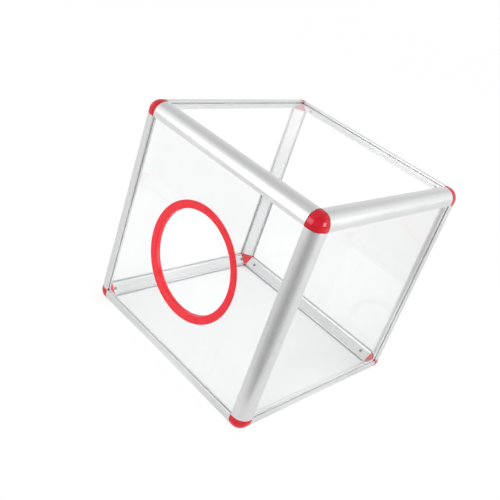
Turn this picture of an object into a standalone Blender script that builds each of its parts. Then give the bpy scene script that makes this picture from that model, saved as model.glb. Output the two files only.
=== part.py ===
"""Raffle box: a clear cube in a frame of aluminium rails, with a hand hole in its front.

Twelve rails of one section make the edges. Eight plastic connectors join them at the
corners, with a prong in each rail's end, and screws hold the prongs of the level rails.
Six clear panels sit in the rails' slots, and a rubber ring trims the hand hole.

Metres, +Z up. The origin is the middle of the box's base, and -Y is the front.
"""

import math

import bmesh
import bpy
from mathutils import Matrix, Vector

# The box, over its outside faces
BOX_SIDE = 0.250
FIT_GAP = 0.0003

# The rail's section
WALL = 0.0015
PANEL_THICKNESS = 0.0030
CHAMBER_NECK = 0.0027
SLOT_DEPTH = 0.0050
FACE_FLAT = 0.0035
INNER_LIP_FLAT = 0.0018

# The connector
PRONG_LENGTH = 0.0170

# The screws. The insets are from the end of a prong, in the rails along the box's width
# and along its depth
WIDE_SCREW_INSET = 0.0048
DEEP_SCREW_INSET = 0.0138
SHANK_RADIUS = 0.0010
SHANK_LENGTH = 0.0060
TIP_LENGTH = 0.0012
HEAD_RADIUS = 0.0019
HEAD_HEIGHT = 0.0011
HEAD_RIM = 0.0004

# The ring round the hand hole
RING_BORE_RADIUS = 0.0546
RING_BORE_WALL = 0.0024
RING_LIP = 0.0015
RING_FRONT_REACH = 0.0065
RING_BACK_REACH = 0.0020
RING_BORE_ROUNDING = 0.0016
RING_TIP_ROUNDING = 0.0007

# How far a cutter runs past what it cuts, and how near two points must lie to be one
OVERRUN = 0.0020
MERGE = 0.000001

# How finely round shapes are divided
ARC_STEPS = 10
DOME_STEPS = 2
CORNER_SEGMENTS = 8
HOLE_SIDES = 12
SCREW_STEPS = 12
RING_STEPS = 64
BORE_STEPS = 3
TIP_STEPS = 2
SMOOTH_ANGLE = math.radians(30)

QUARTER_TURN = math.pi / 2
HALF_TURN = math.pi

# Depths below an outside face that follow from the sizes above
HALF = BOX_SIDE / 2
SLOT_WIDTH = PANEL_THICKNESS + 2 * FIT_GAP
INNER_DEPTH = WALL + SLOT_WIDTH + WALL
CHAMBER_SIDE = INNER_DEPTH + CHAMBER_NECK
SLOT_FLOOR = CHAMBER_SIDE + WALL
LIP_REACH = SLOT_FLOOR + SLOT_DEPTH
CORNER_RADIUS = LIP_REACH - FACE_FLAT
WEB_SUM = INNER_DEPTH + LIP_REACH - INNER_LIP_FLAT
RAIL_START = LIP_REACH + FIT_GAP
RAIL_LENGTH = BOX_SIDE - 2 * RAIL_START
PANEL_START = SLOT_FLOOR + FIT_GAP
PANEL_DEPTH = WALL + FIT_GAP
PRONG_END = LIP_REACH + PRONG_LENGTH
WIDE_SCREW_START = PRONG_END - WIDE_SCREW_INSET
DEEP_SCREW_START = PRONG_END - DEEP_SCREW_INSET
RING_GROOVE_RADIUS = RING_BORE_RADIUS + RING_BORE_WALL
RING_FRONT_RADIUS = RING_GROOVE_RADIUS + RING_FRONT_REACH
RING_BACK_RADIUS = RING_GROOVE_RADIUS + RING_BACK_REACH

SIDES = {
    "left": Vector((-1, 0, 0)),
    "right": Vector((1, 0, 0)),
    "front": Vector((0, -1, 0)),
    "back": Vector((0, 1, 0)),
    "bottom": Vector((0, 0, -1)),
    "top": Vector((0, 0, 1)),
}
BOX_CENTRE = Vector((0, 0, HALF))
BOX_NAME = "raffle_box"


def clear_scene():
    for obj in list(bpy.data.objects):
        bpy.data.objects.remove(obj, do_unlink=True)


def new_collection(name):
    collection = bpy.data.collections.new(name)
    bpy.context.scene.collection.children.link(collection)
    return collection


def add_part(name, mesh, matrix):
    """A part of the box, where the matrix puts it, on the box's empty."""
    obj = bpy.data.objects.new(name, mesh)
    bpy.data.collections[BOX_NAME].objects.link(obj)
    obj.parent = bpy.data.objects[BOX_NAME]
    obj.matrix_world = matrix
    return obj


def add_cutter(name, mesh, matrix):
    """An object that stays in the file to cut a part, and isn't one itself."""
    obj = bpy.data.objects.new(name, mesh)
    bpy.data.collections["cutters"].objects.link(obj)
    obj.matrix_world = matrix
    obj.hide_render = True
    obj.display_type = "WIRE"
    return obj


def new_material(name, colour, roughness, metallic=0.0, transmission=0.0):
    material = bpy.data.materials.new(name)
    material.use_nodes = True
    shader = material.node_tree.nodes["Principled BSDF"]
    shader.inputs["Base Color"].default_value = (*colour, 1.0)
    shader.inputs["Roughness"].default_value = roughness
    shader.inputs["Metallic"].default_value = metallic
    shader.inputs["Transmission Weight"].default_value = transmission
    material.diffuse_color = (*colour, 1.0)
    return material


def satin_aluminium():
    return new_material("satin_aluminium", (0.80, 0.80, 0.81), roughness=0.35, metallic=1.0)


def red_plastic():
    return new_material("red_plastic", (0.62, 0.02, 0.035), roughness=0.15)


def clear_acrylic():
    return new_material("clear_acrylic", (0.97, 0.98, 0.98), roughness=0.02, transmission=1.0)


def red_rubber():
    return new_material("red_rubber", (0.85, 0.06, 0.08), roughness=0.40)


def screw_steel():
    return new_material("screw_steel", (0.45, 0.45, 0.46), roughness=0.30, metallic=1.0)


def arc(centre, radius, start, end, steps):
    """Points of an arc, both ends included."""
    turn = (end - start) / steps
    angles = [start + turn * step for step in range(steps + 1)]
    return [(centre[0] + radius * math.cos(a), centre[1] + radius * math.sin(a)) for a in angles]


def mesh_of(obj):
    """The object's mesh with its modifiers applied, welded. The object goes."""
    bpy.context.view_layer.update()
    graph = bpy.context.evaluated_depsgraph_get()
    mesh = bpy.data.meshes.new_from_object(obj.evaluated_get(graph))
    mesh.transform(obj.matrix_world)
    bpy.data.objects.remove(obj, do_unlink=True)
    edited = bmesh.new()
    edited.from_mesh(mesh)
    bmesh.ops.remove_doubles(edited, verts=edited.verts, dist=MERGE)
    bmesh.ops.recalc_face_normals(edited, faces=edited.faces)
    edited.to_mesh(mesh)
    edited.free()
    return mesh


def extruded(name, outlines, length):
    """A mesh of the outlines' section, length long, half on each side of z = 0."""
    curve = bpy.data.curves.new(name, "CURVE")
    curve.dimensions = "2D"
    curve.fill_mode = "BOTH"
    curve.extrude = length / 2
    for outline in outlines:
        spline = curve.splines.new("POLY")
        spline.points.add(len(outline) - 1)
        for point, (x, y) in zip(spline.points, outline):
            point.co = (x, y, 0.0, 1.0)
        spline.use_cyclic_u = True
    obj = bpy.data.objects.new(name, curve)
    bpy.context.scene.collection.objects.link(obj)
    mesh = mesh_of(obj)
    bpy.data.curves.remove(curve)
    mesh.name = name
    return mesh


def turned(name, outline, steps):
    """A mesh of the outline, (radius, height) points, turned about Z."""
    mesh = bpy.data.meshes.new(name)
    closed = outline[0][0] > 0
    ends = len(outline) if closed else len(outline) - 1
    edges = [(i, (i + 1) % len(outline)) for i in range(ends)]
    mesh.from_pydata([(radius, 0, height) for radius, height in outline], edges, [])
    obj = bpy.data.objects.new(name, mesh)
    bpy.context.scene.collection.objects.link(obj)
    screw = obj.modifiers.new("turn", "SCREW")
    screw.steps = steps
    screw.render_steps = steps
    screw.use_merge_vertices = True
    screw.merge_threshold = MERGE
    return mesh_of(obj)


def plain_object(name, mesh, matrix=Matrix()):
    """An object that is only worked on, outside the parts' collection."""
    obj = bpy.data.objects.new(name, mesh)
    bpy.context.scene.collection.objects.link(obj)
    obj.matrix_world = matrix
    return obj


def box_mesh(name, low, high):
    """A box between two corners."""
    low, high = Vector(low), Vector(high)
    size = Matrix.Diagonal((*(high - low), 1.0))
    edited = bmesh.new()
    bmesh.ops.create_cube(edited, size=1.0, matrix=Matrix.Translation((low + high) / 2) @ size)
    mesh = bpy.data.meshes.new(name)
    edited.to_mesh(mesh)
    edited.free()
    return mesh


def rod_mesh(name, radius, low, high, sides):
    """A rod about Z between two heights."""
    edited = bmesh.new()
    middle = Matrix.Translation((0, 0, (low + high) / 2))
    bmesh.ops.create_cone(
        edited,
        cap_ends=True,
        segments=sides,
        radius1=radius,
        radius2=radius,
        depth=high - low,
        matrix=middle,
    )
    mesh = bpy.data.meshes.new(name)
    edited.to_mesh(mesh)
    edited.free()
    return mesh


def boolean(obj, operation, other):
    modifier = obj.modifiers.new(other.name, "BOOLEAN")
    modifier.operation = operation
    modifier.solver = "EXACT"
    modifier.object = other


def shaped(obj, others):
    """The object's mesh after joining or cutting it with each of (operation, object)."""
    for operation, other in others:
        boolean(obj, operation, other)
    mesh = mesh_of(obj)
    for _, other in others:
        bpy.data.objects.remove(other, do_unlink=True)
    return mesh


def trim(mesh, point, normal):
    """Cuts off what lies beyond a plane, and closes the cut."""
    edited = bmesh.new()
    edited.from_mesh(mesh)
    everything = list(edited.verts) + list(edited.edges) + list(edited.faces)
    cut = bmesh.ops.bisect_plane(
        edited, geom=everything, dist=MERGE, plane_co=point, plane_no=normal, clear_outer=True
    )
    edges = [item for item in cut["geom_cut"] if isinstance(item, bmesh.types.BMEdge)]
    bmesh.ops.holes_fill(edited, edges=edges)
    bmesh.ops.recalc_face_normals(edited, faces=edited.faces)
    edited.to_mesh(mesh)
    edited.free()


def finished(mesh, material):
    """The mesh in its material, with its round faces shaded smooth."""
    mesh.shade_smooth()
    mesh.set_sharp_from_angle(angle=SMOOTH_ANGLE)
    mesh.materials.append(material)
    return mesh


# Sections: x and y are depths below the two outside faces that meet at the rail.


def rail_outline():
    """Round outside, a slot under each outer lip, and a web across the inside."""
    corner = (CORNER_RADIUS, CORNER_RADIUS)
    slot_end = WALL + SLOT_WIDTH
    half = [
        (LIP_REACH, 0.0),
        (LIP_REACH, WALL),
        (SLOT_FLOOR, WALL),
        (SLOT_FLOOR, slot_end),
        (LIP_REACH, slot_end),
        (LIP_REACH, INNER_DEPTH),
        (LIP_REACH - INNER_LIP_FLAT, INNER_DEPTH),
    ]
    mirrored = [(y, x) for x, y in reversed(half)]
    return arc(corner, CORNER_RADIUS, HALF_TURN, HALF_TURN + QUARTER_TURN, ARC_STEPS) + half + mirrored


def chamber_outline(clearance):
    """The rail's hollow, drawn in by a clearance: a round part and a part under the web."""
    corner = (CORNER_RADIUS, CORNER_RADIUS)
    radius = CORNER_RADIUS - WALL - clearance
    side = CHAMBER_SIDE - clearance
    lip = INNER_DEPTH + clearance
    web = WEB_SUM - (WALL + clearance) * math.sqrt(2)
    tilt = math.asin((CORNER_RADIUS - side) / radius)
    round_part = arc(corner, radius, HALF_TURN + tilt, HALF_TURN + QUARTER_TURN - tilt, ARC_STEPS)
    half = [(side, lip), (web - lip, lip)]
    mirrored = [(y, x) for x, y in reversed(half)]
    return round_part + half + mirrored


def web_frame(along):
    """The frame of a screw at a distance along the rail: origin on the web, Z out of it."""
    outward = Vector((1, 1, 0)).normalized()
    x_axis = Vector((0, 0, 1))
    y_axis = outward.cross(x_axis)
    turn = Matrix((x_axis, y_axis, outward)).transposed().to_4x4()
    return Matrix.Translation((WEB_SUM / 2, WEB_SUM / 2, along)) @ turn


def screw_hole(name, along, depth):
    """A cutter for a screw's hole, from outside the web down to a depth below it."""
    mesh = rod_mesh(name, SHANK_RADIUS + FIT_GAP, -depth, OVERRUN, HOLE_SIDES)
    return plain_object(name, mesh, web_frame(along))


def rail_mesh(name, screw_start=None):
    """A rail about the middle of its outer edge, with a hole at that distance from each end."""
    mesh = extruded(name, [rail_outline(), chamber_outline(0.0)], RAIL_LENGTH)
    if screw_start:
        rail = plain_object(name, mesh)
        depth = WALL + OVERRUN
        holes = [screw_hole(f"{name}_hole", end * (HALF - screw_start), depth) for end in (-1, 1)]
        mesh = shaped(rail, [("DIFFERENCE", hole) for hole in holes])
        mesh.name = name
    return mesh


def rounded_corner(name):
    """A cube with its three outside edges rounded, whose faces lie where the lips end."""
    edited = bmesh.new()
    mesh = box_mesh(name, (0, 0, 0), (LIP_REACH, LIP_REACH, LIP_REACH))
    edited.from_mesh(mesh)
    outer = min(edited.verts, key=lambda vert: vert.co.length)
    bmesh.ops.bevel(
        edited,
        geom=list(outer.link_edges),
        offset=CORNER_RADIUS,
        offset_type="OFFSET",
        segments=CORNER_SEGMENTS,
        profile=0.5,
        affect="EDGES",
    )
    edited.to_mesh(mesh)
    edited.free()
    return mesh


def axis_turns():
    """Turns that send Z to X, to Y and to Z, and keep x and y as the other two depths."""
    to_x = Matrix(((0, 0, 1), (1, 0, 0), (0, 1, 0))).to_4x4()
    to_y = Matrix(((0, 1, 0), (0, 0, 1), (1, 0, 0))).to_4x4()
    return [to_x, to_y, Matrix()]


def connector_mesh(name, screw_starts):
    """A corner about the box's outer corner, with a prong along each of X, Y and Z.

    The prongs along X and Y have a hole for a screw, at the distances given.
    """
    body = rounded_corner(name)
    inner_face = (2 * LIP_REACH + INNER_DEPTH) / 3
    trim(body, (inner_face, inner_face, inner_face), (1, 1, 1))
    others = []
    slot_end = WALL + SLOT_WIDTH
    far = LIP_REACH + OVERRUN
    prong_length = PRONG_END - SLOT_FLOOR
    hole_depth = SHANK_LENGTH + FIT_GAP
    for index, turn in enumerate(axis_turns()):
        slot = box_mesh("slot", (SLOT_FLOOR, SLOT_FLOOR, WALL), (far, far, slot_end))
        others.append(("DIFFERENCE", plain_object(f"slot_{index}", slot, turn)))
    for index, turn in enumerate(axis_turns()):
        prong = extruded("prong", [chamber_outline(FIT_GAP)], prong_length)
        place = turn @ Matrix.Translation((0, 0, PRONG_END - prong_length / 2))
        others.append(("UNION", plain_object(f"prong_{index}", prong, place)))
    for start, turn in zip(screw_starts, axis_turns()):
        hole = screw_hole("pilot", start, hole_depth)
        hole.matrix_world = turn @ hole.matrix_world
        others.append(("DIFFERENCE", hole))
    mesh = shaped(plain_object(name, body), others)
    mesh.name = name
    return mesh


def screw_mesh():
    """A pan-head screw about Z, with the rail's web at z = 0 under its head."""
    seat = FIT_GAP
    dome = HEAD_HEIGHT - HEAD_RIM
    tilts = [QUARTER_TURN * step / DOME_STEPS for step in range(1, DOME_STEPS + 1)]
    outline = [(0.0, seat + HEAD_HEIGHT)]
    outline += [(HEAD_RADIUS * math.sin(a), seat + HEAD_RIM + dome * math.cos(a)) for a in tilts]
    outline += [
        (HEAD_RADIUS, seat),
        (SHANK_RADIUS, seat),
        (SHANK_RADIUS, TIP_LENGTH - SHANK_LENGTH),
        (0.0, -SHANK_LENGTH),
    ]
    return turned("screw", outline, SCREW_STEPS)


def ring_mesh():
    """The ring about Z, with the panel's outside at z = 0: a channel that opens outwards."""
    bore = RING_BORE_ROUNDING
    tip = RING_TIP_ROUNDING
    groove_front, groove_back = FIT_GAP, -PANEL_THICKNESS - FIT_GAP
    front, back = groove_front + RING_LIP, groove_back - RING_LIP
    front_rim = RING_FRONT_RADIUS - tip
    back_rim = RING_BACK_RADIUS - tip
    inside = RING_BORE_RADIUS + bore
    outline = arc((front_rim, front - tip), tip, QUARTER_TURN, 0.0, TIP_STEPS)
    outline += arc((front_rim, groove_front + tip), tip, 0.0, -QUARTER_TURN, TIP_STEPS)
    outline += [(RING_GROOVE_RADIUS, groove_front), (RING_GROOVE_RADIUS, groove_back)]
    outline += arc((back_rim, groove_back - tip), tip, QUARTER_TURN, 0.0, TIP_STEPS)
    outline += arc((back_rim, back + tip), tip, 0.0, -QUARTER_TURN, TIP_STEPS)
    outline += arc((inside, back + bore), bore, -QUARTER_TURN, -HALF_TURN, BORE_STEPS)
    outline += arc((inside, front - bore), bore, HALF_TURN, QUARTER_TURN, BORE_STEPS)
    return turned("ring", outline, RING_STEPS)


def panel_mesh(name):
    """A panel about the middle of its outside face, which looks along +Z."""
    reach = HALF - PANEL_START
    return box_mesh(name, (-reach, -reach, -PANEL_THICKNESS), (reach, reach, 0))


def frame_of(first, second, third):
    """Axes that run inwards from three sides; the third keeps its place as Z."""
    axes = [-SIDES[side] for side in (first, second, third)]
    if axes[0].cross(axes[1]).dot(axes[2]) < 0:
        axes[0], axes[1] = axes[1], axes[0]
    return Matrix(axes).transposed().to_4x4()


def face_frame(side, depth):
    """The frame at a depth under the middle of a side, Z out of the side."""
    outward = SIDES[side]
    x_axis = Vector((0, 0, 1)).cross(outward)
    if x_axis.length == 0:
        x_axis = Vector((1, 0, 0))
    y_axis = outward.cross(x_axis)
    turn = Matrix((x_axis, y_axis, outward)).transposed().to_4x4()
    return Matrix.Translation(BOX_CENTRE + outward * (HALF - depth)) @ turn


def edge_frame(first, second):
    """The frame at the middle of the edge where two sides meet, Z along the edge."""
    inward = -SIDES[first], -SIDES[second]
    turn = Matrix((*inward, inward[0].cross(inward[1]))).transposed().to_4x4()
    middle = BOX_CENTRE + (SIDES[first] + SIDES[second]) * HALF
    return Matrix.Translation(middle) @ turn


def side_towards(direction):
    """The name of the side that faces a direction."""
    return max(SIDES, key=lambda side: SIDES[side].dot(direction))


def add_posts(aluminium):
    post = finished(rail_mesh("post"), aluminium)
    for wall in ("front", "back"):
        for flank in ("left", "right"):
            add_part(f"post_{wall}_{flank}", post, edge_frame(wall, flank))


def add_level_rails(aluminium, steel):
    """The eight level rails, each with a screw near both ends."""
    wide_rail = finished(rail_mesh("wide_rail", WIDE_SCREW_START), aluminium)
    deep_rail = finished(rail_mesh("deep_rail", DEEP_SCREW_START), aluminium)
    add_rails(("front", "back"), wide_rail, WIDE_SCREW_START, steel)
    add_rails(("left", "right"), deep_rail, DEEP_SCREW_START, steel)


def add_rails(walls, rail, screw_start, steel):
    screw = finished(screw_mesh(), steel)
    for wall in walls:
        for level in ("bottom", "top"):
            frame = edge_frame(wall, level)
            add_part(f"rail_{wall}_{level}", rail, frame)
            for end in (-1, 1):
                near = side_towards(frame.to_3x3() @ Vector((0, 0, end)))
                place = frame @ web_frame(end * (HALF - screw_start))
                add_part(f"screw_{wall}_{level}_by_{near}", screw, place)


def add_corners(plastic):
    """Two kinds of connector that mirror each other, because their screws are staggered."""
    deep_first = connector_mesh("connector", (DEEP_SCREW_START, WIDE_SCREW_START))
    wide_first = connector_mesh("mirrored_connector", (WIDE_SCREW_START, DEEP_SCREW_START))
    finished(deep_first, plastic)
    finished(wide_first, plastic)
    for wall in ("front", "back"):
        for flank in ("left", "right"):
            for level in ("bottom", "top"):
                corner = BOX_CENTRE + (SIDES[wall] + SIDES[flank] + SIDES[level]) * HALF
                frame = frame_of(wall, flank, level)
                runs_deep = side_towards(frame.col[0].to_3d()) in ("front", "back")
                connector = deep_first if runs_deep else wide_first
                add_part(
                    f"corner_{wall}_{flank}_{level}", connector, Matrix.Translation(corner) @ frame
                )


def add_plain_panels(acrylic):
    panel = finished(panel_mesh("panel"), acrylic)
    for side in ("back", "left", "right", "bottom", "top"):
        add_part(f"panel_{side}", panel, face_frame(side, PANEL_DEPTH))


def add_front_panel(acrylic):
    """The panel with the hand hole, which the ring's groove fits into."""
    place = face_frame("front", PANEL_DEPTH)
    panel = add_part("panel_front", finished(panel_mesh("panel_with_hole"), acrylic), place)
    radius = RING_GROOVE_RADIUS + FIT_GAP
    hole = rod_mesh("hand_hole", radius, -PANEL_THICKNESS - OVERRUN, OVERRUN, RING_STEPS)
    boolean(panel, "DIFFERENCE", add_cutter("hand_hole_cutter", hole, place))


def add_ring(rubber):
    ring = finished(ring_mesh(), rubber)
    add_part("hand_hole_ring", ring, face_frame("front", PANEL_DEPTH))


def main():
    clear_scene()
    new_collection("cutters")
    parts = new_collection(BOX_NAME)
    parts.objects.link(bpy.data.objects.new(BOX_NAME, None))

    aluminium = satin_aluminium()
    acrylic = clear_acrylic()
    add_posts(aluminium)
    add_level_rails(aluminium, screw_steel())
    add_corners(red_plastic())
    add_plain_panels(acrylic)
    add_front_panel(acrylic)
    add_ring(red_rubber())


main()
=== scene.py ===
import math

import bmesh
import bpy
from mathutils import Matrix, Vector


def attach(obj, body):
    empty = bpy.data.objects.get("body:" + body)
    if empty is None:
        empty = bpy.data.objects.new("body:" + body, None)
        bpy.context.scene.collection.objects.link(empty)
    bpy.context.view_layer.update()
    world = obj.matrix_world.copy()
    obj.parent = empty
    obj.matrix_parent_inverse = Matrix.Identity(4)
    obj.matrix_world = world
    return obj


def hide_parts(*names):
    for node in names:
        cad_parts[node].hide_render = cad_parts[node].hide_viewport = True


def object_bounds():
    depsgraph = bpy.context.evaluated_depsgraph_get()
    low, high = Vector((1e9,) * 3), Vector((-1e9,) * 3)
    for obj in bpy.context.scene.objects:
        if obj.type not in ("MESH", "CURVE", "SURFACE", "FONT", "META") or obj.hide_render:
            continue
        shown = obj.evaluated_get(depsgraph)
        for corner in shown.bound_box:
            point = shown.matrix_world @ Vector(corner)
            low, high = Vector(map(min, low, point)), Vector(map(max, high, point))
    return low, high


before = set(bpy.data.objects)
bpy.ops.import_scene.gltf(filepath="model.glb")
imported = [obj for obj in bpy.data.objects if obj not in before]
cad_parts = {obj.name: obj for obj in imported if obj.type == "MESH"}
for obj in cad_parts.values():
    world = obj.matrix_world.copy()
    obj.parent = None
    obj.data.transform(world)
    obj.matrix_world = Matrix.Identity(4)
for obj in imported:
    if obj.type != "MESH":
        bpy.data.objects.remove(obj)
cad_low, cad_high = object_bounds()

# Raffle box: a clear cube in a frame of aluminium rails, with red corners and a red ring
# round its hand hole. Metres, +Z up, the front looks along -Y.
#
# Each kind of piece is modelled once, in its place on the box: the rail along the bottom of
# the front, the corner at that rail's left end, a screw halfway along it, and the ring.
# Copies of the first three are then moved or turned about the middle of the box. The clear
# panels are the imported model's own.

# The box, over its outside faces
BOX_SIDE = cad_high.x - cad_low.x
HALF = BOX_SIDE / 2
BOX_CENTRE = Vector((0, 0, HALF))
QUARTER_TURN = math.pi / 2
FULL_TURN = 2 * math.pi

# Its upright sides and its corners seen from above, each a quarter turn on from the last
WALLS = ("front", "right", "back", "left")
CORNERS = (("front", "left"), ("front", "right"), ("back", "right"), ("back", "left"))

# How near two places are to count as one, and how far a cutter goes past what it cuts
TOUCHING = 0.00001
OVERCUT = 0.0015

# The rail's section, in depths below the two outside faces that meet at it
WALL = 0.0015
SLOT_WIDTH = 0.0036
SLOT_FLOOR = 0.0108
LIP_REACH = 0.0158
INNER_DEPTH = 0.0066
INNER_LIP_FLAT = 0.0018
CORNER_RADIUS = 0.0123
CHAMBER_SIDE = 0.0093
FIT_GAP = 0.0003
SLOT_END = WALL + SLOT_WIDTH
WEB_SUM = INNER_DEPTH + LIP_REACH - INNER_LIP_FLAT
RAIL_END = HALF - LIP_REACH - FIT_GAP
RAIL_FILLET = 0.00022
RAIL_FILLET_STEPS = 2
RAIL_SHARP = math.radians(30)
OUTER_ROUND_STEPS = 24
CHAMBER_STEPS = 8

# The corner connector
PRONG_LENGTH = 0.0170
CORNER_ROUND_STEPS = 20
CORNER_FILLET = 0.00035
CORNER_FILLET_STEPS = 3
CORNER_SHARP = math.radians(35)
DISH_RIM = 0.0008
DISH_DEPTH = 0.0006

# The screws, and how far they are from the corners along the box's width and its depth
WIDE_SCREW_START = 0.0280
DEEP_SCREW_START = 0.0190
HEAD_RADIUS = 0.0019
HEAD_HEIGHT = 0.0011
HEAD_SIDES = 32
HEAD_ROUNDING = 0.0007
HEAD_ROUNDING_STEPS = 5
SHANK_RADIUS = 0.0010
SHANK_LENGTH = 0.0060
TIP_LENGTH = 0.0012
RECESS_LENGTH = 0.0019
RECESS_WIDTH = 0.00045
RECESS_DEPTH = 0.0007

# The ring round the hand hole
PANEL_DEPTH = 0.0018
PANEL_THICKNESS = 0.0030
BORE_RADIUS = 0.0546
GROOVE_RADIUS = 0.0570
FRONT_RADIUS = 0.0635
BACK_RADIUS = 0.0590
RING_LIP = 0.0015
BORE_ROUNDING = 0.0016
BORE_ROUNDING_STEPS = 8
TIP_ROUNDING = 0.0007
TIP_ROUNDING_STEPS = 4
RING_STEPS = 160

# How the hand tools work: a bevel's circular profile, the small plane that a line starts
# from, how squarely a face has to look along a direction, the angle that faces are shaded
# smooth up to, and how much the larger faces count in that
CIRCULAR = 0.5
SEED_SIZE = 0.001
SQUARE_ON = math.radians(1)
SMOOTH_UP_TO = math.radians(50)
BY_FACE_AREA = 100

# The finishes. A pair of numbers or colours is what a pattern runs between, and the scales
# of the patterns are in cells to the metre, unless the place is already stretched to them.
# A bump is its strength and its height.
WHOLE = (0.0, 1.0)
MIDDLING = (0.3, 0.7)
CLOUDY = (0.35, 0.65)
AS_STRETCHED = 1.0

SMUDGE_PATCHES = 45.0
SMUDGE_PATCH_EDGE = (0.42, 0.68)
SMUDGE_SPECKS = 420.0
SMUDGE_REACH = (0.0, 0.6)
SCRATCH_TURN = (0.6, 0.9, 0.4)
SCRATCH_CELLS = (60.0, 900.0, 900.0)
SCRATCH_EDGE = (0.70, 0.76)

DIE_LINES_ALONG = 4.0
DIE_LINES_ACROSS = 1500.0
SATIN_GRAIN = 2600.0
SATIN_GRAIN_HEIGHT = (0.0, 0.4)
SATIN_TONES = ((0.86, 0.865, 0.87), (0.92, 0.92, 0.925))
SATIN_ROUGHNESS = (0.26, 0.33)
SATIN_SMUDGES = (0.0, 0.06)
SATIN_SCRATCHES = (0.0, 0.05)
SATIN_BUMP = (0.25, 0.00001)

DULL_GRAIN = 1800.0
DULL_TONES = ((0.88, 0.885, 0.89), (0.93, 0.93, 0.935))
DULL_ROUGHNESS = (0.48, 0.56)
DULL_AT_MOST = 0.7
DULL_METALLIC = 0.4
DULL_BUMP = (0.2, 0.00001)

PLASTIC_PEEL = 700.0
PLASTIC_CLOUDS = 160.0
PLASTIC_TONES = ((0.66, 0.006, 0.020), (0.74, 0.009, 0.027))
PLASTIC_ROUGHNESS = (0.09, 0.17)
PLASTIC_SCRATCHES = (0.0, 0.15)
PLASTIC_SPECULAR = 0.4
PLASTIC_BUMP = (0.15, 0.00004)

RUBBER_GRAIN = 3000.0
RUBBER_CLOUDS = 90.0
RUBBER_TONES = ((0.89, 0.015, 0.031), (0.95, 0.020, 0.039))
RUBBER_ROUGHNESS = (0.17, 0.23)
RUBBER_AT_MOST = 0.4
RUBBER_BUMP = (0.2, 0.00003)

STEEL_WEAR = 1400.0
STEEL_WEAR_EDGE = (0.52, 0.66)
STEEL_TONES = ((0.28, 0.27, 0.27), (0.50, 0.49, 0.49))
STEEL_ROUGHNESS = (0.24, 0.34)
STEEL_AT_MOST = 0.6
STEEL_BUMP = (0.2, 0.00002)

ACRYLIC_CLOUDS = 12.0
ACRYLIC_TINTS = ((0.977, 0.980, 0.980), (0.982, 0.984, 0.984))
ACRYLIC_SMUDGED = (0.970, 0.974, 0.974)
ACRYLIC_SHADOW = (0.93, 0.94, 0.94, 1.0)
ACRYLIC_IOR = 1.49
ACRYLIC_BUMP = (0.1, 0.00001)

# The studio. A light path's depths are whole numbers, so a half stands between none and one.
WHITE = (1.0, 1.0, 1.0, 1.0)
BELOW_ONE = 0.5

# The floor as the camera sees it
FLOOR_SIZE = 40
FLOOR_ROUGHNESS = 0.9
FLOOR_FLECKS = 900.0
FLOOR_TONES = ((0.24, 0.24, 0.24), (0.26, 0.26, 0.26))
FLOOR_GLOW = 0.81

# The floor as the metal mirrors it: its glow by the distance from the box's middle, and how
# much darker it is towards one side, by the cosine of the angle to that side
NEAR_FLOOR = (0.10, 0.15)
NEAR_FLOOR_GLOW = (0.84, 0.52)
FLOOR_SHADE_FROM = (0.16, -0.16, 0.0)
FLOOR_SHADE_TOWARDS = (0.50, -0.87, 0.0)
FLOOR_SHADE_SPREAD = (-0.2, 1.0)
FLOOR_SHADE_DEPTH = (0.0, 0.38)

# The floor as the rails inside and the panels mirror it: by distance, and by the same cosine
INNER_FLOOR = (0.12, 0.18)
INNER_FLOOR_GLOW = (0.80, 0.26)
INNER_FLOOR_SPREAD = (0.2, 0.8)
INNER_FLOOR_SIDE_GLOW = (0.26, 0.80)

# The room as the metal mirrors it: its strength by height, and brighter or darker parts,
# each with its direction, the cosines where it starts and is full, and what it adds
ROOM_HEIGHTS = (0.25, 0.80)
ROOM_STRENGTHS = (0.76, 0.56)
ROOM_LOBES = (
    ((-0.61, -0.76, 0.22), (0.62, 0.98), 0.24),
    ((0.55, 0.76, 0.26), (0.74, 0.98), 0.20),
    ((0.60, -0.60, 0.50), (0.55, 0.95), -0.35),
    ((-0.55, 0.83, -0.05), (0.905, 0.955), 0.12),
)

# The room as the rails inside and the panels mirror it, and as the camera sees it
INNER_ROOM_HEIGHTS = (0.30, 0.50)
INNER_ROOM_STRENGTHS = (1.28, 0.82)
ROOM_SEEN = 1.0

# The soft boxes: where they stand, their size and their power
SOFT_BOXES = (
    ("soft_box_front", (-0.34, -1.45, 0.42), 0.95, 8.0),
    ("soft_box_right", (1.40, 0.30, 0.55), 0.65, 10.0),
)

# The camera, fitted to the corners of the cube in the photo
CAMERA_PLACE = (0.41429, -0.59697, 0.48890)
CAMERA_TURN = (63.7289, -18.0526, 44.5519)
CAMERA_LENS = 51.848
CAMERA_SENSOR = 36
CAMERA_SHIFT = (-0.03910, -0.06016)
CAMERA_SEES_FROM = 0.01


# Hand tools


def pick(kind, test):
    """In edit mode, selects the vertices, edges or faces that lie wholly where the test says."""
    bpy.ops.mesh.select_mode(type=kind)
    bpy.ops.mesh.select_all(action="DESELECT")
    mesh = bmesh.from_edit_mesh(bpy.context.object.data)
    for item in {"VERT": mesh.verts, "EDGE": mesh.edges, "FACE": mesh.faces}[kind]:
        corners = [item] if kind == "VERT" else item.verts
        if all(test(corner.co) for corner in corners):
            item.select_set(True)
    mesh.select_flush_mode()
    bmesh.update_edit_mesh(bpy.context.object.data)


def pick_faces_along(direction):
    """In edit mode, selects the flat faces that look along a direction."""
    bpy.ops.mesh.select_mode(type="FACE")
    bpy.ops.mesh.select_all(action="DESELECT")
    mesh = bmesh.from_edit_mesh(bpy.context.object.data)
    for face in mesh.faces:
        if face.normal.angle(direction, math.pi) < SQUARE_ON:
            face.select_set(True)
    bmesh.update_edit_mesh(bpy.context.object.data)


def near(value, goal):
    return abs(value - goal) < TOUCHING


def select_only(piece):
    bpy.ops.object.select_all(action="DESELECT")
    piece.select_set(True)
    bpy.context.view_layer.objects.active = piece


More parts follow.
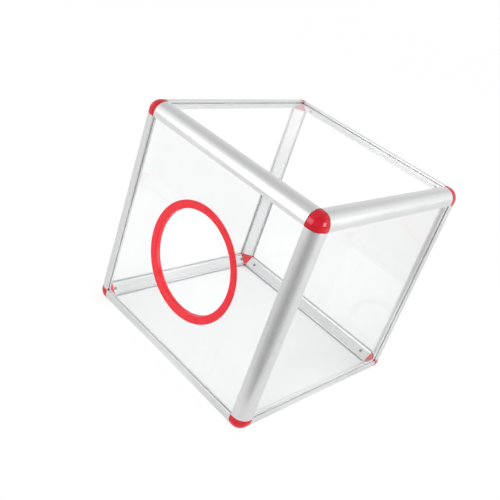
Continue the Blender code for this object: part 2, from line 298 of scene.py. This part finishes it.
def apply_modifier(piece, kind, **settings):
    select_only(piece)
    modifier = piece.modifiers.new(kind.lower(), kind)
    for name, value in settings.items():
        setattr(modifier, name, value)
    bpy.ops.object.modifier_apply(modifier=modifier.name)


def carve(piece, tool, operation="DIFFERENCE"):
    """Cuts the tool out of the piece, or joins it on, and takes the tool away."""
    apply_modifier(piece, "BOOLEAN", operation=operation, solver="EXACT", object=tool)
    bpy.data.objects.remove(tool, do_unlink=True)


def block(name, low, high):
    """A block between two corners, to cut with or to start from."""
    low, high = Vector(low), Vector(high)
    bpy.ops.object.select_all(action="DESELECT")
    bpy.ops.mesh.primitive_cube_add(size=1, location=(low + high) / 2, scale=high - low)
    bpy.ops.object.transform_apply(location=True, rotation=True, scale=True)
    bpy.context.object.name = name
    return bpy.context.object


def start_line(name, place):
    """One vertex in edit mode, to draw a section from: a small plane, merged to its middle."""
    bpy.ops.object.select_all(action="DESELECT")
    bpy.ops.mesh.primitive_plane_add(size=SEED_SIZE, location=place)
    bpy.ops.object.transform_apply(location=True, rotation=True, scale=True)
    bpy.context.object.name = name
    bpy.ops.object.mode_set(mode="EDIT")
    bpy.ops.mesh.select_mode(type="VERT")
    bpy.ops.mesh.select_all(action="SELECT")
    bpy.ops.mesh.merge(type="CENTER")
    return bpy.context.object


def draw_line(points):
    """Extrudes the line's last vertex from point to point."""
    for here, there in zip(points, points[1:]):
        bpy.ops.mesh.extrude_vertices_move(TRANSFORM_OT_translate={"value": there - here})


def close_face():
    bpy.ops.mesh.select_all(action="SELECT")
    bpy.ops.mesh.edge_face_add()


def round_off(reach, steps, affect="EDGES"):
    """In edit mode, rounds the selected edges, or the selected vertices of a section."""
    bpy.ops.mesh.bevel(offset=reach, segments=steps, profile=CIRCULAR, affect=affect)


def add_fillets(piece, reach, steps, sharp):
    """Rounds every edge of the piece that is sharper than an angle."""
    apply_modifier(
        piece, "BEVEL", width=reach, segments=steps, limit_method="ANGLE", angle_limit=sharp
    )


def smooth(piece):
    select_only(piece)
    bpy.ops.object.shade_smooth_by_angle(angle=SMOOTH_UP_TO)
    apply_modifier(piece, "WEIGHTED_NORMAL", keep_sharp=True, weight=BY_FACE_AREA)


def turned_copy(piece, name, about_y, about_z):
    """A copy with its own mesh, given quarter turns about the middle of the box."""
    select_only(piece)
    bpy.ops.object.duplicate()
    copy = bpy.context.object
    copy.name = name
    for axis, quarters in (("Y", about_y), ("Z", about_z)):
        bpy.ops.transform.rotate(
            value=-quarters * QUARTER_TURN,
            orient_axis=axis,
            orient_type="GLOBAL",
            center_override=BOX_CENTRE,
        )
    bpy.ops.object.transform_apply(location=True, rotation=True, scale=True)
    return copy


# The rails


def rail_point(front_depth, bottom_depth, along=0.0):
    """A point of the front bottom rail, by its depths below the two outside faces."""
    return Vector((along, front_depth - HALF, bottom_depth))


def section_bar(name, points, start, end):
    """A bar along the front bottom edge, of the section that the depths give."""
    corners = [rail_point(*point, start) for point in points]
    bar = start_line(name, corners[0])
    draw_line(corners)
    close_face()
    bpy.ops.mesh.extrude_region_move(TRANSFORM_OT_translate={"value": (end - start, 0, 0)})
    bpy.ops.mesh.select_all(action="SELECT")
    bpy.ops.mesh.normals_make_consistent(inside=False)
    bpy.ops.object.mode_set(mode="OBJECT")
    return bar


def chamber_points(clearance):
    """The rail's hollow, drawn in by a clearance on all sides."""
    radius = CORNER_RADIUS - WALL - clearance
    side = CHAMBER_SIDE - clearance
    lip = INNER_DEPTH + clearance
    web = WEB_SUM - (WALL + clearance) * math.sqrt(2)
    tilt = math.asin((CORNER_RADIUS - side) / radius)
    points = []
    for step in range(CHAMBER_STEPS + 1):
        angle = tilt + (QUARTER_TURN - 2 * tilt) * step / CHAMBER_STEPS
        x = CORNER_RADIUS - radius * math.cos(angle)
        y = CORNER_RADIUS - radius * math.sin(angle)
        points.append((x, y))
    return points + [(side, lip), (web - lip, lip), (lip, web - lip), (lip, side)]


def make_rail():
    """Round outside, a slot under each outer lip, and a slanted web across the inside."""
    half = [
        (LIP_REACH, 0),
        (LIP_REACH, WALL),
        (SLOT_FLOOR, WALL),
        (SLOT_FLOOR, SLOT_END),
        (LIP_REACH, SLOT_END),
        (LIP_REACH, INNER_DEPTH),
        (LIP_REACH - INNER_LIP_FLAT, INNER_DEPTH),
    ]
    outline = [(0, 0)] + half + [(y, x) for x, y in reversed(half)]
    rail = section_bar("rail", outline, -RAIL_END, RAIL_END)
    bpy.ops.object.mode_set(mode="EDIT")
    pick("EDGE", lambda at: near(at.y, -HALF) and near(at.z, 0))
    round_off(CORNER_RADIUS, OUTER_ROUND_STEPS)
    bpy.ops.object.mode_set(mode="OBJECT")
    add_fillets(rail, RAIL_FILLET, RAIL_FILLET_STEPS, RAIL_SHARP)
    carve(rail, section_bar("rail_hollow", chamber_points(0), -HALF, HALF))
    smooth(rail)
    mark_slots(rail)
    return rail


def mark_slots(rail):
    """Gives the walls of the two slots the rail's second finish."""
    deepest = SLOT_FLOOR - RAIL_FILLET

    def in_slot(depth, reach):
        return WALL - RAIL_FILLET < depth < SLOT_END + RAIL_FILLET and reach > deepest

    for _ in range(2):
        bpy.ops.object.material_slot_add()
    bpy.ops.object.mode_set(mode="EDIT")
    for test in (
        lambda at: in_slot(at.y + HALF, at.z),
        lambda at: in_slot(at.z, at.y + HALF),
    ):
        pick("FACE", test)
        rail.active_material_index = 1
        bpy.ops.object.material_slot_assign()
    bpy.ops.object.mode_set(mode="OBJECT")


# The corners


def make_corner():
    """A cube with its outer edges rounded to a dome, and a three-sided face inside."""
    at_corner = Vector((-HALF, -HALF, 0))
    inward = Vector((1, 1, 1))
    corner = block("corner", at_corner, at_corner + inward * LIP_REACH)
    bpy.ops.object.mode_set(mode="EDIT")

    def on_outer_edge(at):
        """On two of the three outside faces at once."""
        return sum(near(depth, 0) for depth in at - at_corner) >= 2

    pick("EDGE", on_outer_edge)
    round_off(CORNER_RADIUS, CORNER_ROUND_STEPS)
    # The three-sided face goes through the ends of the three rails' inner lips
    inner_face = (2 * LIP_REACH + INNER_DEPTH) / 3
    bpy.ops.mesh.select_all(action="SELECT")
    bpy.ops.mesh.bisect(
        plane_co=at_corner + inward * inner_face,
        plane_no=inward,
        use_fill=True,
        clear_outer=True,
    )
    bpy.ops.mesh.select_all(action="SELECT")
    bpy.ops.mesh.normals_make_consistent(inside=False)
    pick_faces_along(inward)
    bpy.ops.mesh.inset(thickness=DISH_RIM)
    bpy.ops.mesh.inset(thickness=DISH_RIM, depth=-DISH_DEPTH)
    bpy.ops.object.mode_set(mode="OBJECT")
    for turn in range(3):
        low = [SLOT_FLOOR] * 3
        high = [LIP_REACH + OVERCUT] * 3
        low[turn] = WALL
        high[turn] = SLOT_END
        carve(corner, block("slot", at_corner + Vector(low), at_corner + Vector(high)))
    add_fillets(corner, CORNER_FILLET, CORNER_FILLET_STEPS, CORNER_SHARP)
    for prong in make_prongs():
        carve(corner, prong, "UNION")
    smooth(corner)
    return corner


def make_prongs():
    """The three bars that go up the rails' hollows."""
    start = SLOT_FLOOR - HALF
    end = LIP_REACH + PRONG_LENGTH - HALF
    along_x = section_bar("prong_x", chamber_points(FIT_GAP), start, end)
    prongs = [along_x]
    corner = Vector((-HALF, -HALF, 0))
    for name, times in (("prong_y", 1), ("prong_z", 2)):
        select_only(along_x)
        bpy.ops.object.duplicate()
        prong = bpy.context.object
        prong.name = name
        for axis in ("Z", "Y") * times:
            bpy.ops.transform.rotate(
                value=-QUARTER_TURN, orient_axis=axis, orient_type="GLOBAL", center_override=corner
            )
        bpy.ops.object.transform_apply(location=True, rotation=True, scale=True)
        prongs.append(prong)
    return prongs


# The screws


def make_screw():
    """A pan head with a cross recess halfway along the rail's web, and its shank below."""
    bpy.ops.object.select_all(action="DESELECT")
    bpy.ops.mesh.primitive_cylinder_add(
        vertices=HEAD_SIDES,
        radius=HEAD_RADIUS,
        depth=HEAD_HEIGHT,
        location=(0, 0, HEAD_HEIGHT / 2),
    )
    screw = bpy.context.object
    screw.name = "screw"
    bpy.ops.object.transform_apply(location=True, rotation=True, scale=True)
    bpy.ops.object.mode_set(mode="EDIT")
    pick("EDGE", lambda at: near(at.z, HEAD_HEIGHT))
    round_off(HEAD_ROUNDING, HEAD_ROUNDING_STEPS)
    pick("FACE", lambda at: near(at.z, 0))
    bpy.ops.mesh.inset(thickness=HEAD_RADIUS - SHANK_RADIUS)
    for length in (SHANK_LENGTH - TIP_LENGTH, TIP_LENGTH):
        bpy.ops.mesh.extrude_region_move(TRANSFORM_OT_translate={"value": (0, 0, -length)})
    bpy.ops.mesh.merge(type="CENTER")
    bpy.ops.object.mode_set(mode="OBJECT")
    deep = HEAD_HEIGHT - RECESS_DEPTH
    above = HEAD_HEIGHT + OVERCUT
    for x, y in ((RECESS_LENGTH, RECESS_WIDTH), (RECESS_WIDTH, RECESS_LENGTH)):
        carve(screw, block("recess", (-x / 2, -y / 2, deep), (x / 2, y / 2, above)))
    smooth(screw)
    select_only(screw)
    bpy.ops.transform.rotate(
        value=QUARTER_TURN / 2, orient_axis="X", orient_type="GLOBAL", center_override=(0, 0, 0)
    )
    bpy.ops.transform.translate(value=rail_point(WEB_SUM / 2, WEB_SUM / 2))
    bpy.ops.object.transform_apply(location=True, rotation=True, scale=True)
    return screw


def slid_copy(screw, name, shift):
    """A copy moved along the front bottom rail."""
    select_only(screw)
    bpy.ops.object.duplicate()
    bpy.ops.transform.translate(value=(shift, 0, 0))
    bpy.ops.object.transform_apply(location=True, rotation=True, scale=True)
    bpy.context.object.name = name
    return bpy.context.object


# The ring


def make_ring():
    """A channel round the hole's edge: its section is drawn above the hole and spun."""
    outside = PANEL_DEPTH - HALF
    groove_front, groove_back = outside - FIT_GAP, outside + PANEL_THICKNESS + FIT_GAP
    front, back = groove_front - RING_LIP, groove_back + RING_LIP
    section = [
        (FRONT_RADIUS, front),
        (FRONT_RADIUS, groove_front),
        (GROOVE_RADIUS, groove_front),
        (GROOVE_RADIUS, groove_back),
        (BACK_RADIUS, groove_back),
        (BACK_RADIUS, back),
        (BORE_RADIUS, back),
        (BORE_RADIUS, front),
    ]
    corners = [Vector((0, y, HALF + radius)) for radius, y in section]
    ring = start_line("ring", corners[0])
    draw_line(corners)
    close_face()
    pick("VERT", lambda at: near(at.z, HALF + FRONT_RADIUS) or near(at.z, HALF + BACK_RADIUS))
    round_off(TIP_ROUNDING, TIP_ROUNDING_STEPS, "VERTICES")
    pick("VERT", lambda at: near(at.z, HALF + BORE_RADIUS))
    round_off(BORE_ROUNDING, BORE_ROUNDING_STEPS, "VERTICES")
    bpy.ops.mesh.select_all(action="SELECT")
    bpy.ops.mesh.delete(type="ONLY_FACE")
    bpy.ops.mesh.select_all(action="SELECT")
    bpy.ops.mesh.spin(steps=RING_STEPS, angle=FULL_TURN, center=BOX_CENTRE, axis=(0, 1, 0))
    bpy.ops.mesh.select_all(action="SELECT")
    bpy.ops.mesh.remove_doubles(threshold=TOUCHING)
    bpy.ops.mesh.normals_make_consistent(inside=False)
    bpy.ops.object.mode_set(mode="OBJECT")
    smooth(ring)
    return ring


# Materials


class Sheet:
    """A material's or a group's node tree, with short ways to add to it."""

    # The Mix node's sockets for its two values and its result, by the kind of value
    MIX_SOCKETS = {"FLOAT": (2, 3, 0), "RGBA": (6, 7, 2)}

    def __init__(self, tree):
        self.tree = tree

    def add(self, kind, **settings):
        node = self.tree.nodes.new(kind)
        for name, value in settings.items():
            setattr(node, name, value)
        return node

    def link(self, source, target):
        self.tree.links.new(source, target)

    def set(self, node, **values):
        for name, value in values.items():
            node.inputs[name.replace("_", " ")].default_value = value

    def feed(self, socket, value):
        """Gives a socket a number, a colour or another node's output."""
        if isinstance(value, float):
            socket.default_value = value
        elif isinstance(value, tuple):
            socket.default_value = (*value, 1.0)
        else:
            self.link(value, socket)

    def noise(self, vector, scale, detail=4.0):
        node = self.add("ShaderNodeTexNoise")
        self.link(vector, node.inputs["Vector"])
        self.set(node, Scale=scale, Detail=detail)
        return node.outputs["Fac"]

    def span(self, value, given, wanted, ease="LINEAR"):
        """Stretches what lies between the given pair to between the wanted pair."""
        node = self.add("ShaderNodeMapRange", interpolation_type=ease)
        self.link(value, node.inputs["Value"])
        self.set(node, From_Min=given[0], From_Max=given[1], To_Min=wanted[0], To_Max=wanted[1])
        return node.outputs["Result"]

    def sums(self, operation, first, second):
        """One sum of two values, such as ADD or MINIMUM."""
        node = self.add("ShaderNodeMath", operation=operation)
        self.feed(node.inputs[0], first)
        self.feed(node.inputs[1], second)
        return node.outputs["Value"]

    def mix(self, kind, mask, first, second):
        """The first value where the mask is 0, and the second where it is 1."""
        at_none, at_full, result = self.MIX_SOCKETS[kind]
        node = self.add("ShaderNodeMix", data_type=kind)
        self.link(mask, node.inputs["Factor"])
        self.feed(node.inputs[at_none], first)
        self.feed(node.inputs[at_full], second)
        return node.outputs[result]

    def stretched(self, vector, **settings):
        """A place scaled along each axis, and turned where the settings say so."""
        node = self.add("ShaderNodeMapping")
        self.link(vector, node.inputs["Vector"])
        self.set(node, **settings)
        return node.outputs["Vector"]

    def towards(self, direction, goal):
        """The cosine of the angle between a direction and a goal."""
        dot = self.add("ShaderNodeVectorMath", operation="DOT_PRODUCT")
        self.link(direction, dot.inputs[0])
        dot.inputs[1].default_value = Vector(goal).normalized()
        return dot.outputs["Value"]


def make_handling_group():
    """Soft smudges and fine scratches, as hands leave them."""
    tree = bpy.data.node_groups.new("handling", "ShaderNodeTree")
    tree.interface.new_socket(name="Place", in_out="INPUT", socket_type="NodeSocketVector")
    for name in ("Smudges", "Scratches"):
        tree.interface.new_socket(name=name, in_out="OUTPUT", socket_type="NodeSocketFloat")
    sheet = Sheet(tree)
    place = sheet.add("NodeGroupInput").outputs["Place"]
    out = sheet.add("NodeGroupOutput")
    patches = sheet.noise(place, SMUDGE_PATCHES, detail=3.0)
    specks = sheet.noise(place, SMUDGE_SPECKS, detail=2.0)
    smudges = sheet.sums("MULTIPLY", sheet.span(patches, SMUDGE_PATCH_EDGE, WHOLE), specks)
    sheet.link(smudges, out.inputs["Smudges"])
    slanted = sheet.stretched(place, Rotation=SCRATCH_TURN, Scale=SCRATCH_CELLS)
    streaks = sheet.noise(slanted, AS_STRETCHED, detail=1.0)
    sheet.link(sheet.span(streaks, SCRATCH_EDGE, WHOLE), out.inputs["Scratches"])
    return tree


def new_material(name):
    """A new material, its sheet and its shader."""
    material = bpy.data.materials.new(name)
    material.use_nodes = True
    sheet = Sheet(material.node_tree)
    return material, sheet, sheet.tree.nodes["Principled BSDF"]


def object_place(sheet):
    return sheet.add("ShaderNodeTexCoord").outputs["Object"]


def handling_on(sheet, group, place):
    node = sheet.add("ShaderNodeGroup")
    node.node_tree = group
    sheet.link(place, node.inputs["Place"])
    return node.outputs["Smudges"], node.outputs["Scratches"]


def add_bump(sheet, shader, height, bump):
    strength, distance = bump
    node = sheet.add("ShaderNodeBump")
    sheet.set(node, Strength=strength, Distance=distance)
    sheet.link(height, node.inputs["Height"])
    sheet.link(node.outputs["Normal"], shader.inputs["Normal"])


def satin_aluminium(along, handling):
    """Drawn and anodised, with die lines that run along the rail."""
    material, sheet, shader = new_material(f"satin_aluminium_{along}")
    place = object_place(sheet)
    cells = [DIE_LINES_ACROSS] * 3
    cells["xyz".index(along)] = DIE_LINES_ALONG
    lines = sheet.noise(sheet.stretched(place, Scale=cells), AS_STRETCHED, detail=3.0)
    grain = sheet.noise(place, SATIN_GRAIN, detail=2.0)
    smudges, scratches = handling_on(sheet, handling, place)
    tone = sheet.span(lines, MIDDLING, WHOLE)
    sheet.link(sheet.mix("RGBA", tone, *SATIN_TONES), shader.inputs["Base Color"])
    satin = sheet.span(lines, MIDDLING, SATIN_ROUGHNESS)
    satin = sheet.sums("ADD", satin, sheet.span(smudges, SMUDGE_REACH, SATIN_SMUDGES))
    satin = sheet.sums("SUBTRACT", satin, sheet.span(scratches, WHOLE, SATIN_SCRATCHES))
    sheet.link(satin, shader.inputs["Roughness"])
    height = sheet.sums("ADD", lines, sheet.span(grain, WHOLE, SATIN_GRAIN_HEIGHT))
    add_bump(sheet, shader, height, SATIN_BUMP)
    sheet.set(shader, Metallic=1.0)
    return material


def dull_aluminium(handling):
    """The slots, which the satin finish doesn't reach: matt, and a little uneven."""
    material, sheet, shader = new_material("dull_aluminium")
    place = object_place(sheet)
    smudges, _ = handling_on(sheet, handling, place)
    grain = sheet.noise(place, DULL_GRAIN, detail=2.0)
    tone = sheet.span(grain, MIDDLING, WHOLE)
    sheet.link(sheet.mix("RGBA", tone, *DULL_TONES), shader.inputs["Base Color"])
    matt = sheet.sums("ADD", sheet.span(grain, MIDDLING, DULL_ROUGHNESS), smudges)
    sheet.link(sheet.sums("MINIMUM", matt, DULL_AT_MOST), shader.inputs["Roughness"])
    add_bump(sheet, shader, grain, DULL_BUMP)
    sheet.set(shader, Metallic=DULL_METALLIC)
    return material


def red_plastic(handling):
    """Glossy moulded plastic, with a faint orange peel."""
    material, sheet, shader = new_material("red_plastic")
    place = object_place(sheet)
    smudges, scratches = handling_on(sheet, handling, place)
    peel = sheet.noise(place, PLASTIC_PEEL, detail=2.0)
    cloud = sheet.span(sheet.noise(place, PLASTIC_CLOUDS), CLOUDY, WHOLE)
    sheet.link(sheet.mix("RGBA", cloud, *PLASTIC_TONES), shader.inputs["Base Color"])
    gloss = sheet.span(smudges, SMUDGE_REACH, PLASTIC_ROUGHNESS)
    gloss = sheet.sums("ADD", gloss, sheet.span(scratches, WHOLE, PLASTIC_SCRATCHES))
    sheet.link(gloss, shader.inputs["Roughness"])
    add_bump(sheet, shader, peel, PLASTIC_BUMP)
    sheet.set(shader, Specular_IOR_Level=PLASTIC_SPECULAR)
    return material


def red_rubber(handling):
    """Soft moulded rubber with a slight gloss, a fine grain and a little bloom."""
    material, sheet, shader = new_material("red_rubber")
    place = object_place(sheet)
    smudges, _ = handling_on(sheet, handling, place)
    grain = sheet.noise(place, RUBBER_GRAIN, detail=3.0)
    cloud = sheet.span(sheet.noise(place, RUBBER_CLOUDS), CLOUDY, WHOLE)
    sheet.link(sheet.mix("RGBA", cloud, *RUBBER_TONES), shader.inputs["Base Color"])
    satin = sheet.sums("ADD", sheet.span(grain, MIDDLING, RUBBER_ROUGHNESS), smudges)
    sheet.link(sheet.sums("MINIMUM", satin, RUBBER_AT_MOST), shader.inputs["Roughness"])
    add_bump(sheet, shader, grain, RUBBER_BUMP)
    return material


def dark_steel(handling):
    """The screws' dark plating, rubbed lighter in places."""
    material, sheet, shader = new_material("dark_steel")
    place = object_place(sheet)
    smudges, scratches = handling_on(sheet, handling, place)
    wear = sheet.span(sheet.noise(place, STEEL_WEAR), STEEL_WEAR_EDGE, WHOLE)
    sheet.link(sheet.mix("RGBA", wear, *STEEL_TONES), shader.inputs["Base Color"])
    gloss = sheet.sums("ADD", sheet.span(wear, WHOLE, STEEL_ROUGHNESS), smudges)
    sheet.link(sheet.sums("MINIMUM", gloss, STEEL_AT_MOST), shader.inputs["Roughness"])
    add_bump(sheet, shader, scratches, STEEL_BUMP)
    sheet.set(shader, Metallic=1.0)
    return material


def clear_acrylic(handling):
    """Clear sheet with faint smudges and scratches, which lets the lamps' light through."""
    material, sheet, shader = new_material("clear_acrylic")
    place = object_place(sheet)
    smudges, scratches = handling_on(sheet, handling, place)
    cloud = sheet.span(sheet.noise(place, ACRYLIC_CLOUDS), CLOUDY, WHOLE)
    tint = sheet.mix("RGBA", cloud, *ACRYLIC_TINTS)
    smudged = sheet.span(smudges, SMUDGE_REACH, WHOLE)
    tint = sheet.mix("RGBA", smudged, tint, ACRYLIC_SMUDGED)
    sheet.link(tint, shader.inputs["Base Color"])
    add_bump(sheet, shader, scratches, ACRYLIC_BUMP)
    sheet.set(shader, Roughness=0.0)
    sheet.set(shader, IOR=ACRYLIC_IOR)
    sheet.set(shader, Transmission_Weight=1.0)
    see_through = sheet.add("ShaderNodeBsdfTransparent")
    sheet.set(see_through, Color=ACRYLIC_SHADOW)
    path = sheet.add("ShaderNodeLightPath")
    either = sheet.add("ShaderNodeMixShader")
    sheet.link(path.outputs["Is Shadow Ray"], either.inputs["Fac"])
    sheet.link(shader.outputs["BSDF"], either.inputs[1])
    sheet.link(see_through.outputs["BSDF"], either.inputs[2])
    sheet.link(either.outputs["Shader"], sheet.tree.nodes["Material Output"].inputs["Surface"])
    return material


def dress(piece, material):
    piece.data.materials.clear()
    piece.data.materials.append(material)


def dress_rail(rail, satin, dull):
    for slot, material in zip(rail.material_slots, (satin, dull)):
        slot.material = material


def seat(piece, node):
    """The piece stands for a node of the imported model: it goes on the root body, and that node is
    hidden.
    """
    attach(piece, "root")
    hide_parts(node)


# The box put together. A piece made along the bottom is turned half way round for the top,
# which takes its left end to the right.


def add_rails(handling):
    metal = {axis: satin_aluminium(axis, handling) for axis in "xyz"}
    dull = dull_aluminium(handling)
    rail = make_rail()
    for turn, wall in enumerate(WALLS):
        along = "x" if wall in ("front", "back") else "y"
        for level, flip in (("bottom", 0), ("top", 2)):
            copy = turned_copy(rail, f"{wall}_{level}_rail", flip, turn)
            dress_rail(copy, metal[along], dull)
            seat(copy, f"rail_{wall}_{level}")
    for turn, (wall, flank) in enumerate(CORNERS):
        copy = turned_copy(rail, f"{wall}_{flank}_post", 1, turn)
        dress_rail(copy, metal["z"], dull)
        seat(copy, f"post_{wall}_{flank}")
    bpy.data.objects.remove(rail, do_unlink=True)


def add_corners(handling):
    plastic = red_plastic(handling)
    corner = make_corner()
    above = CORNERS[1:] + CORNERS[:1]
    for level, flip, places in (("bottom", 0, CORNERS), ("top", 2, above)):
        for turn, (wall, flank) in enumerate(places):
            copy = turned_copy(corner, f"{wall}_{flank}_{level}_corner", flip, turn)
            dress(copy, plastic)
            seat(copy, f"corner_{wall}_{flank}_{level}")
    bpy.data.objects.remove(corner, do_unlink=True)


def add_screws(handling):
    steel = dark_steel(handling)
    middle = make_screw()
    for turn, wall in enumerate(WALLS):
        before, after = WALLS[turn - 1], WALLS[(turn + 1) % len(WALLS)]
        start = WIDE_SCREW_START if wall in ("front", "back") else DEEP_SCREW_START
        left = slid_copy(middle, "screw_left", start - HALF)
        right = slid_copy(middle, "screw_right", HALF - start)
        for level, flip, ends in (("bottom", 0, (before, after)), ("top", 2, (after, before))):
            for screw, end in zip((left, right), ends):
                copy = turned_copy(screw, f"{wall}_{level}_screw_by_{end}", flip, turn)
                dress(copy, steel)
                seat(copy, f"screw_{wall}_{level}_by_{end}")
        bpy.data.objects.remove(left, do_unlink=True)
        bpy.data.objects.remove(right, do_unlink=True)
    bpy.data.objects.remove(middle, do_unlink=True)


def add_ring(handling):
    ring = make_ring()
    ring.name = "ring_round_hand_hole"
    dress(ring, red_rubber(handling))
    seat(ring, "hand_hole_ring")


def dress_panels(handling):
    acrylic = clear_acrylic(handling)
    for side in (*WALLS, "bottom", "top"):
        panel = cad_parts[f"panel_{side}"]
        for slot in panel.material_slots:
            slot.material = acrylic


# The studio


def seen_directly(sheet):
    """1 for what the camera sees straight or through the clear panels, 0 after a reflection."""
    path = sheet.add("ShaderNodeLightPath")
    bounces = sheet.sums("ADD", path.outputs["Glossy Depth"], path.outputs["Diffuse Depth"])
    return sheet.sums("LESS_THAN", bounces, BELOW_ONE)


def seen_by_panel(sheet):
    """1 for what a clear panel mirrors, and for what shows after the light has gone through one."""
    path = sheet.add("ShaderNodeLightPath")
    through = sheet.sums("GREATER_THAN", path.outputs["Transmission Depth"], BELOW_ONE)
    return sheet.sums("MAXIMUM", through, path.outputs["Is Singular Ray"])


def add_floor():
    """A white floor that glows enough to show white, and keeps a soft shadow."""
    bpy.ops.object.select_all(action="DESELECT")
    bpy.ops.mesh.primitive_plane_add(size=FLOOR_SIZE, location=(0, 0, 0))
    floor = bpy.context.object
    floor.name = "floor"
    material, sheet, shader = new_material("white_floor")
    sheet.set(shader, Roughness=FLOOR_ROUGHNESS)
    sheet.set(shader, Emission_Color=WHITE)
    place = object_place(sheet)
    flecks = sheet.span(sheet.noise(place, FLOOR_FLECKS), MIDDLING, WHOLE)
    sheet.link(sheet.mix("RGBA", flecks, *FLOOR_TONES), shader.inputs["Base Color"])
    distance, side = floor_distance_and_side(sheet, place)
    by_distance = sheet.span(distance, NEAR_FLOOR, NEAR_FLOOR_GLOW)
    shade = sheet.span(side, FLOOR_SHADE_SPREAD, FLOOR_SHADE_DEPTH)
    mirrored = sheet.sums("SUBTRACT", by_distance, shade)
    by_distance = sheet.span(distance, INNER_FLOOR, INNER_FLOOR_GLOW)
    by_side = sheet.span(side, INNER_FLOOR_SPREAD, INNER_FLOOR_SIDE_GLOW)
    inside = sheet.sums("MAXIMUM", by_distance, by_side)
    mirrored = sheet.mix("FLOAT", seen_by_panel(sheet), mirrored, inside)
    glow = sheet.mix("FLOAT", seen_directly(sheet), mirrored, FLOOR_GLOW)
    sheet.link(glow, shader.inputs["Emission Strength"])
    dress(floor, material)


def floor_distance_and_side(sheet, place):
    """How far a place on the floor is from the box's middle, and how near the shaded side."""
    distance = sheet.add("ShaderNodeVectorMath", operation="LENGTH")
    sheet.link(place, distance.inputs[0])
    away = sheet.add("ShaderNodeVectorMath", operation="SUBTRACT")
    sheet.link(place, away.inputs[0])
    away.inputs[1].default_value = FLOOR_SHADE_FROM
    heading = sheet.add("ShaderNodeVectorMath", operation="NORMALIZE")
    sheet.link(away.outputs["Vector"], heading.inputs[0])
    side = sheet.towards(heading.outputs["Vector"], FLOOR_SHADE_TOWARDS)
    return distance.outputs["Value"], side


def light_studio():
    """A white room, and two soft boxes: one before the box and one to its right."""
    world = bpy.data.worlds.new("studio")
    world.use_nodes = True
    bpy.context.scene.world = world
    sheet = Sheet(world.node_tree)
    background = sheet.tree.nodes["Background"]
    sheet.set(background, Color=WHITE)
    direction = sheet.add("ShaderNodeTexCoord").outputs["Generated"]
    split = sheet.add("ShaderNodeSeparateXYZ")
    sheet.link(direction, split.inputs["Vector"])
    room = sheet.span(split.outputs["Z"], ROOM_HEIGHTS, ROOM_STRENGTHS)
    for goal, cosines, strength in ROOM_LOBES:
        lobe = sheet.towards(direction, goal)
        room = sheet.sums("ADD", room, sheet.span(lobe, cosines, (0.0, strength), "SMOOTHSTEP"))
    inner_room = sheet.span(split.outputs["Z"], INNER_ROOM_HEIGHTS, INNER_ROOM_STRENGTHS)
    room = sheet.mix("FLOAT", seen_by_panel(sheet), room, inner_room)
    room = sheet.mix("FLOAT", seen_directly(sheet), room, ROOM_SEEN)
    sheet.link(room, background.inputs["Strength"])
    for name, place, size, power in SOFT_BOXES:
        add_soft_box(name, place, size, power)


def add_soft_box(name, place, size, power):
    bpy.ops.object.light_add(type="AREA", location=place)
    lamp = bpy.context.object
    lamp.name = name
    lamp.data.shape = "SQUARE"
    lamp.data.size = size
    lamp.data.energy = power
    lamp.rotation_euler = (BOX_CENTRE - Vector(place)).to_track_quat("-Z", "Y").to_euler()


def add_camera():
    bpy.ops.object.camera_add(location=CAMERA_PLACE)
    camera = bpy.context.object
    camera.rotation_euler = [math.radians(turn) for turn in CAMERA_TURN]
    camera.data.lens = CAMERA_LENS
    camera.data.sensor_width = CAMERA_SENSOR
    camera.data.shift_x, camera.data.shift_y = CAMERA_SHIFT
    camera.data.clip_start = CAMERA_SEES_FROM
    bpy.context.scene.camera = camera
    bpy.context.scene.view_settings.view_transform = "Standard"


handling = make_handling_group()
add_rails(handling)
add_corners(handling)
add_screws(handling)
add_ring(handling)
dress_panels(handling)
add_floor()
light_studio()
add_camera()
